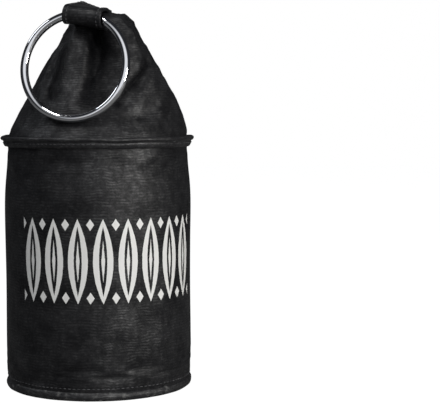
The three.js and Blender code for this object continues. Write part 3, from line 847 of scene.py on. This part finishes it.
def strap_path(radius, tails):
    """Points along the strip at one radius, from the end of the upper tail to the end of the lower."""
    (upper, rise), (lower, low_rise) = tails
    path = []
    for k in range(13):
        length = upper * (1 - k / 12)
        path.append((length * math.cos(rise) - radius * math.sin(rise), length * math.sin(rise) + radius * math.cos(rise)))
    first, last = math.pi / 2 + rise, 3 * math.pi / 2 + low_rise
    for k in range(1, STRAP_ROWS):
        angle = first + (last - first) * k / STRAP_ROWS
        path.append((radius * math.cos(angle), radius * math.sin(angle)))
    for k in range(13):
        length = lower * k / 12
        path.append((length * math.cos(low_rise) + radius * math.sin(low_rise),
                     length * math.sin(low_rise) - radius * math.cos(low_rise)))
    return path


def build_strap():
    origin, back, up, through = strap_frame()
    inner, outer, tails, width = strap_sizes()
    inside, outside = strap_path(inner, tails), strap_path(outer, tails)
    half = width / 2
    across = [-half, -half + 0.0004, -half + HEM_WIDTH * 0.5, -half + HEM_WIDTH, -half + HEM_WIDTH * 1.3]
    across += [-half + width * k / 12 for k in range(3, 10)]
    across += [-a for a in reversed(across[:5])]
    points, faces, uvs = [], [], []
    count = len(across)
    lengths = [0.0]
    for p, q in zip(outside, outside[1:]):
        lengths.append(lengths[-1] + math.dist(p, q))

    def thick(a):
        edge = half - abs(a)
        hem = HEM_THICKER * max(0.0, 1 - max(0.0, edge - HEM_WIDTH * 0.8) / (HEM_WIDTH * 0.4)) if edge < HEM_WIDTH * 1.2 else 0.0
        return hem - (0.0005 if edge < 1e-6 else 0.0)

    for i, (p_in, p_out) in enumerate(zip(inside, outside)):
        drawn_in = 1 - TAIL_NARROW * (1 - ease(i, 0, 9))
        for a in across:
            away = Vector((p_out[0] - p_in[0], p_out[1] - p_in[1], 0)).normalized()
            wave = STRAP_SLACK * smooth_noise(Vector((a * 90, lengths[i] * 60, 2.0)))
            grow = thick(a) + wave * (1 if i > 2 else 0)
            q = (p_out[0] + away.x * grow, p_out[1] + away.y * grow)
            points.append(origin + back * q[0] + up * q[1] + through * a * drawn_in)
        for a in across:
            edge = 0.0005 if half - abs(a) < 1e-6 else 0.0
            points.append(origin + back * (p_in[0] + (p_out[0] - p_in[0]) * edge / (outer - inner))
                          + up * (p_in[1] + (p_out[1] - p_in[1]) * edge / (outer - inner)) + through * a * drawn_in)
    ring = 2 * count
    order = list(range(count)) + [count + k for k in reversed(range(count))]
    for i in range(len(outside) - 1):
        for j in range(ring):
            a, b = i * ring + order[j], i * ring + order[(j + 1) % ring]
            faces.append((a, a + ring, b + ring, b))
            ua = across[order[j] % count]
            ub = across[order[(j + 1) % ring] % count]
            uvs += [(ua, lengths[i]), (ua, lengths[i + 1]), (ub, lengths[i + 1]), (ub, lengths[i])]
    for start, flip in ((0, False), ((len(outside) - 1) * ring, True)):
        for j in range(count - 1):
            face = [start + j, start + j + 1, start + count + j + 1, start + count + j]
            if flip:
                face.reverse()
            faces.append(tuple(face))
            uvs += [(across[j], 0), (across[j + 1], 0), (across[j + 1], 0.001), (across[j], 0.001)]
    piece = new_piece("ring_strap_cloth", points, faces, uvs, twill("strap_twill"))
    shape = bmesh.new()
    shape.from_mesh(piece.data)
    bmesh.ops.recalc_face_normals(shape, faces=shape.faces)
    shape.to_mesh(piece.data)
    shape.free()
    return piece


ring_strap_cloth = build_strap()
sag_aside(ring_strap_cloth, SAG_DEPTH)
add_subdivision(ring_strap_cloth, 2)
dressed(ring_strap_cloth, "ring_strap")

# The pull ring is round steel wire bent to a ring, butt-welded, ground and chromed. It hangs loose in
# the strap, with its weld inside the loop.
CHROME_TINT = (0.90, 0.91, 0.93, 1)
RING_ROUND_STEPS = 160
WIRE_STEPS = 32


def chrome():
    material = bpy.data.materials.new("ring_chrome")
    material.use_nodes = True
    tree = material.node_tree
    shader = tree.nodes["Principled BSDF"]
    place = tree.nodes.new("ShaderNodeTexCoord").outputs["Object"]
    rub = add_noise(tree, place, 320, 4)
    rough = add_math(tree, "ADD", 0.045, add_math(tree, "MULTIPLY", add_ramp(tree, rub, 0.45, 0.75), 0.07))
    tree.links.new(rough, shader.inputs["Roughness"])
    tree.links.new(add_bump(tree, add_noise(tree, place, 60, 2), 0.00004), shader.inputs["Normal"])
    shader.inputs["Base Color"].default_value = CHROME_TINT
    shader.inputs["Metallic"].default_value = 1.0
    return material


def build_ring():
    centre, facing, radius, wire = ring_circle()
    hinge = Vector(frame["joints"][0]["pos_m"])
    up = (hinge - centre)
    up = (up - facing * up.dot(facing)).normalized()
    side = up.cross(facing)
    points, faces, uvs = [], [], []
    for k in range(RING_ROUND_STEPS):
        turn = 2 * math.pi * k / RING_ROUND_STEPS
        out = up * math.cos(turn) + side * math.sin(turn)
        for j in range(WIRE_STEPS):
            angle = 2 * math.pi * j / WIRE_STEPS
            points.append(centre + out * (radius + wire * math.cos(angle)) + facing * wire * math.sin(angle))
    for k in range(RING_ROUND_STEPS):
        for j in range(WIRE_STEPS):
            a, b = k * WIRE_STEPS + j, k * WIRE_STEPS + (j + 1) % WIRE_STEPS
            c, d = ((k + 1) % RING_ROUND_STEPS) * WIRE_STEPS + (j + 1) % WIRE_STEPS, ((k + 1) % RING_ROUND_STEPS) * WIRE_STEPS + j
            faces.append((a, b, c, d))
            u0, u1 = 2 * math.pi * radius * k / RING_ROUND_STEPS, 2 * math.pi * radius * (k + 1) / RING_ROUND_STEPS
            v0, v1 = 2 * math.pi * wire * j / WIRE_STEPS, 2 * math.pi * wire * (j + 1) / WIRE_STEPS
            uvs += [(u0, v0), (u0, v1), (u1, v1), (u1, v0)]
    piece = new_piece("chromed_ring", points, faces, uvs, chrome())
    shape = bmesh.new()
    shape.from_mesh(piece.data)
    bmesh.ops.recalc_face_normals(shape, faces=shape.faces)
    shape.to_mesh(piece.data)
    shape.free()
    return piece


dressed(build_ring(), "pull_ring", body="ring")

# The seams are sewn with black thread in short lock stitches: along both welts, up the lapped seam at
# the back, along the strap's hems and across its tail. Each stitch is a small bead of thread.
STITCH_PITCH = 0.0030
STITCH_LENGTH = 0.0023
THREAD_RADIUS = 0.00028
THREAD_GREY = (0.10, 0.10, 0.105, 1)


def thread_finish():
    material = bpy.data.materials.new("seam_thread")
    material.use_nodes = True
    tree = material.node_tree
    shader = tree.nodes["Principled BSDF"]
    place = tree.nodes.new("ShaderNodeTexCoord").outputs["Object"]
    tone = add_ramp(tree, add_noise(tree, place, 240, 3), 0.3, 0.7)
    tree.links.new(add_colour_mix(tree, tone, (0.03, 0.03, 0.033, 1), THREAD_GREY), shader.inputs["Base Color"])
    tree.links.new(add_bump(tree, add_noise(tree, place, 2600, 2), 0.00006), shader.inputs["Normal"])
    shader.inputs["Roughness"].default_value = 0.6
    return material


def stitch_tree(material):
    """A row of thread beads along a line, with named sizes."""
    tree = bpy.data.node_groups.new("stitch_row", "GeometryNodeTree")
    face = tree.interface
    face.new_socket("Geometry", in_out="INPUT", socket_type="NodeSocketGeometry")
    for name, value in (("Pitch", STITCH_PITCH), ("Length", STITCH_LENGTH), ("Thread radius", THREAD_RADIUS)):
        face.new_socket(name, in_out="INPUT", socket_type="NodeSocketFloat").default_value = value
    face.new_socket("Seed", in_out="INPUT", socket_type="NodeSocketInt")
    face.new_socket("Geometry", in_out="OUTPUT", socket_type="NodeSocketGeometry")
    nodes, links = tree.nodes, tree.links
    given, result = nodes.new("NodeGroupInput"), nodes.new("NodeGroupOutput")
    line = nodes.new("GeometryNodeMeshToCurve")
    spaced = nodes.new("GeometryNodeResampleCurve")
    spaced.mode = "LENGTH"
    bead = nodes.new("GeometryNodeMeshUVSphere")
    bead.inputs["Segments"].default_value = 8
    bead.inputs["Rings"].default_value = 5
    bead.inputs["Radius"].default_value = 1.0
    tangent = nodes.new("GeometryNodeInputTangent")
    turned_to = nodes.new("FunctionNodeAlignRotationToVector")
    turned_to.axis = "X"
    half = nodes.new("ShaderNodeMath")
    half.operation = "MULTIPLY"
    half.inputs[1].default_value = 0.5
    uneven = nodes.new("FunctionNodeRandomValue")
    uneven.data_type = "FLOAT"
    uneven.inputs[2].default_value, uneven.inputs[3].default_value = 0.82, 1.08
    long = nodes.new("ShaderNodeMath")
    long.operation = "MULTIPLY"
    size = nodes.new("ShaderNodeCombineXYZ")
    placed = nodes.new("GeometryNodeInstanceOnPoints")
    real = nodes.new("GeometryNodeRealizeInstances")
    finished = nodes.new("GeometryNodeSetMaterial")
    finished.inputs["Material"].default_value = material
    links.new(given.outputs["Geometry"], line.inputs["Mesh"])
    links.new(line.outputs["Curve"], spaced.inputs["Curve"])
    links.new(given.outputs["Pitch"], spaced.inputs["Length"])
    links.new(spaced.outputs["Curve"], placed.inputs["Points"])
    links.new(bead.outputs["Mesh"], placed.inputs["Instance"])
    links.new(tangent.outputs["Tangent"], turned_to.inputs["Vector"])
    links.new(turned_to.outputs["Rotation"], placed.inputs["Rotation"])
    links.new(given.outputs["Length"], half.inputs[0])
    links.new(given.outputs["Seed"], uneven.inputs["Seed"])
    links.new(half.outputs[0], long.inputs[0])
    links.new(uneven.outputs[1], long.inputs[1])
    links.new(long.outputs[0], size.inputs["X"])
    links.new(given.outputs["Thread radius"], size.inputs["Y"])
    links.new(given.outputs["Thread radius"], size.inputs["Z"])
    links.new(size.outputs["Vector"], placed.inputs["Scale"])
    links.new(placed.outputs["Instances"], real.inputs["Geometry"])
    links.new(real.outputs["Geometry"], finished.inputs["Geometry"])
    links.new(finished.outputs["Geometry"], result.inputs["Geometry"])
    return tree


def surface_of(piece):
    return BVHTree.FromObject(piece, bpy.context.evaluated_depsgraph_get())


def seam_line(name, points, surface, closed=False, sunk=0.0):
    """A line of points laid on the cloth, a thread's sinking below its surface."""
    laid = []
    for p in points:
        at, normal, _, _ = surface.find_nearest(Vector(p))
        laid.append(at - normal * sunk)
    edges = [(k, k + 1) for k in range(len(laid) - 1)]
    if closed:
        edges.append((len(laid) - 1, 0))
    mesh = bpy.data.meshes.new(name)
    mesh.from_pydata(laid, edges, [])
    line = bpy.data.objects.new(name, mesh)
    scene.collection.objects.link(line)
    return line


def circle_points(radius, z, steps=240):
    turns = [2 * math.pi * k / steps for k in range(steps)]
    return [(radius * math.cos(t), radius * math.sin(t), z) for t in turns]


def sewn(lines, name, material):
    """Runs the stitch tree on every line and joins the rows to one plain mesh."""
    tree = stitch_tree(material)
    inputs = {item.name: item.identifier for item in tree.interface.items_tree if item.in_out == "INPUT"}
    whole = bmesh.new()
    for k, (line, pitch, length) in enumerate(lines):
        modifier = line.modifiers.new("Stitches", "NODES")
        modifier.node_group = tree
        modifier[inputs["Pitch"]] = pitch
        modifier[inputs["Length"]] = length
        modifier[inputs["Seed"]] = k + 1
        graph = bpy.context.evaluated_depsgraph_get()
        row = bpy.data.meshes.new_from_object(line.evaluated_get(graph))
        whole.from_mesh(row)
        bpy.data.meshes.remove(row)
        bpy.data.objects.remove(line)
    mesh = bpy.data.meshes.new(name)
    whole.to_mesh(mesh)
    whole.free()
    mesh.materials.clear()
    mesh.materials.append(material)
    mesh.polygons.foreach_set("use_smooth", [True] * len(mesh.polygons))
    piece = bpy.data.objects.new(name, mesh)
    scene.collection.objects.link(piece)
    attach(piece, "bag")
    return piece


def seam_lines():
    lines = []
    rim_low, rim_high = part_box("rim_welt")
    rim = surface_of(rim_welt_cloth)
    line = seam_line("rim_line", circle_points(rim_high.x, rim_low.z + 0.0026), rim, closed=True)
    lines.append((line, STITCH_PITCH, STITCH_LENGTH))
    sleeve = surface_of(sleeve_cloth)
    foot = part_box("base_welt")[1].z
    line = seam_line("foot_line", circle_points(0.060, foot + 0.0018), sleeve, closed=True)
    lines.append((line, STITCH_PITCH, STITCH_LENGTH))
    for side in (-1, 1):
        points = [(side * 0.0038, 0.060, foot + 0.004 + k * 0.0018) for k in range(79)]
        lines.append((seam_line("lap_line", points, sleeve), STITCH_PITCH, STITCH_LENGTH))
    origin, back, up, through = strap_frame()
    inner, outer, tails, width = strap_sizes()
    strap = surface_of(ring_strap_cloth)
    for a in (-width / 2 + HEM_WIDTH, width / 2 - HEM_WIDTH):
        points = [origin + back * p[0] + up * p[1] + through * a for p in strap_path(outer + 0.001, tails)[2:-6]]
        lines.append((seam_line("hem_line", points, strap), 0.0026, 0.0020))
    tail = strap_path(outer + 0.001, tails)
    for k in (1, 3):
        p = tail[k]
        points = [origin + back * p[0] + up * p[1] + through * (width * (j / 20 - 0.5) * 0.9) for j in range(21)]
        lines.append((seam_line("tail_line", points, strap), 0.0026, 0.0020))
    return lines


sewn(seam_lines(), "seam_stitches", thread_finish())
